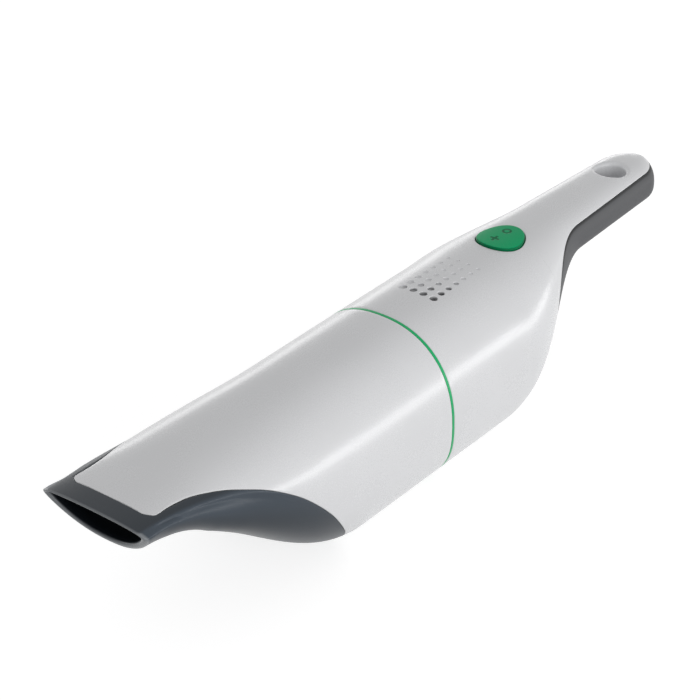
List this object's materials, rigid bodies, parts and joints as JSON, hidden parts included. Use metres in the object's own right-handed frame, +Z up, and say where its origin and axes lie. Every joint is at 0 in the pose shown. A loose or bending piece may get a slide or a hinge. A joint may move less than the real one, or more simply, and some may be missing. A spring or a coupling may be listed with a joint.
{
  "type": "crumb vacuum cleaner",
  "caption": "Slim handheld cordless crumb vacuum with a scooped nozzle, pull-off dust container, pleated filter, fan and motor, rocking power button and hanging hole.",
  "frame": {"origin": "under the middle of the length, on the surface that the belly rests on", "axes": "+X from the nozzle towards the handle, +Y across towards the far side in the picture, +Z up"},
  "size_m": [0.4299, 0.0864, 0.0848],
  "materials": {
    "white_plastic": "satin, fine moulded grain",
    "scoop_plastic": "satin dark grey",
    "grip_plastic": "fine matt grain",
    "green_plastic": "satin green",
    "ring_green": "satin green",
    "inner_plastic": "plain moulded grey",
    "black_plastic": "plain moulded black",
    "rubber": "matt rubber",
    "steel": "bright zinc-plated steel",
    "can_steel": "drawn steel",
    "mesh_steel": "woven steel net",
    "magnet": "sintered ferrite",
    "copper": "lacquered copper wire and laminations",
    "brass": "brass and sintered bronze",
    "carbon": "pressed carbon",
    "paper": "pleated filter paper",
    "foam": "open-cell foam",
    "cell_wrap": "shrink wrap",
    "board_green": "solder mask"
  },
  "bodies": {
    "housing": {"housing_shell": "white_plastic", "grip_cover": "grip_plastic", "grip_screws": "steel", "trim_ring": "ring_green", "bulkhead": "inner_plastic", "container_seal": "rubber", "bulkhead_screws": "steel", "fan_shroud": "black_plastic", "diffuser": "black_plastic", "motor_can": "can_steel", "motor_magnets": "magnet", "motor_bearings": "brass", "motor_end_cap": "black_plastic", "motor_brushes": "carbon", "motor_ring": "rubber", "front_frame": "inner_plastic", "rear_frame": "inner_plastic", "battery_cells": "cell_wrap", "battery_straps": "steel", "control_board": "board_green", "board_parts": "black_plastic", "board_screws": "steel", "exhaust_foam": "foam", "button_pin": "steel", "button_cradle": "inner_plastic", "catch_leaf": "steel", "catch_screw": "steel", "charge_socket": "black_plastic"},
    "container": {"container_shell": "white_plastic", "nozzle_scoop": "scoop_plastic", "intake_duct": "inner_plastic", "flap_pin": "steel"},
    "flap": {"intake_flap": "rubber"},
    "filter": {"filter_frame": "inner_plastic", "filter_pleats": "paper", "pre_filter": "mesh_steel", "filter_seal": "rubber"},
    "rotor": {"impeller": "inner_plastic", "armature": "copper", "commutator": "brass", "motor_shaft": "steel"},
    "power_key": {"power_button": "green_plastic"},
    "release_key": {"release_button": "green_plastic"}
  },
  "joints": [
    {"name": "container_slide", "type": "slide", "parent": "housing", "child": "container", "axis": [-1, 0, 0], "range_m": [0, 0.16]},
    {"name": "filter_slide", "type": "slide", "parent": "container", "child": "filter", "axis": [1, 0, 0], "range_m": [0, 0.072]},
    {"name": "flap_hinge", "type": "hinge", "parent": "container", "child": "flap", "pos_m": [-0.1344, 0, 0.072], "axis": [0, -1, 0], "range_deg": [0, 65]},
    {"name": "rotor_spin", "type": "hinge", "parent": "housing", "child": "rotor", "pos_m": [0.025, 0, 0.045], "axis": [1, 0, 0], "continuous": true},
    {"name": "power_rocker", "type": "hinge", "parent": "housing", "child": "power_key", "pos_m": [0.085, 0, 0.077], "axis": [0, 1, 0], "range_deg": [-2.5, 2.5], "stiffness_Nm_per_rad": 0.3},
    {"name": "release_press", "type": "slide", "parent": "housing", "child": "release_key", "axis": [0, 0, 1], "range_m": [0, 0.002], "stiffness_N_per_m": 1200, "springref_m": -0.0006, "deforming": ["catch_leaf"]}
  ],
  "couplings": [
    {"joint": "filter_slide", "follows": "container_slide", "ratio": 0.45}
  ]
}
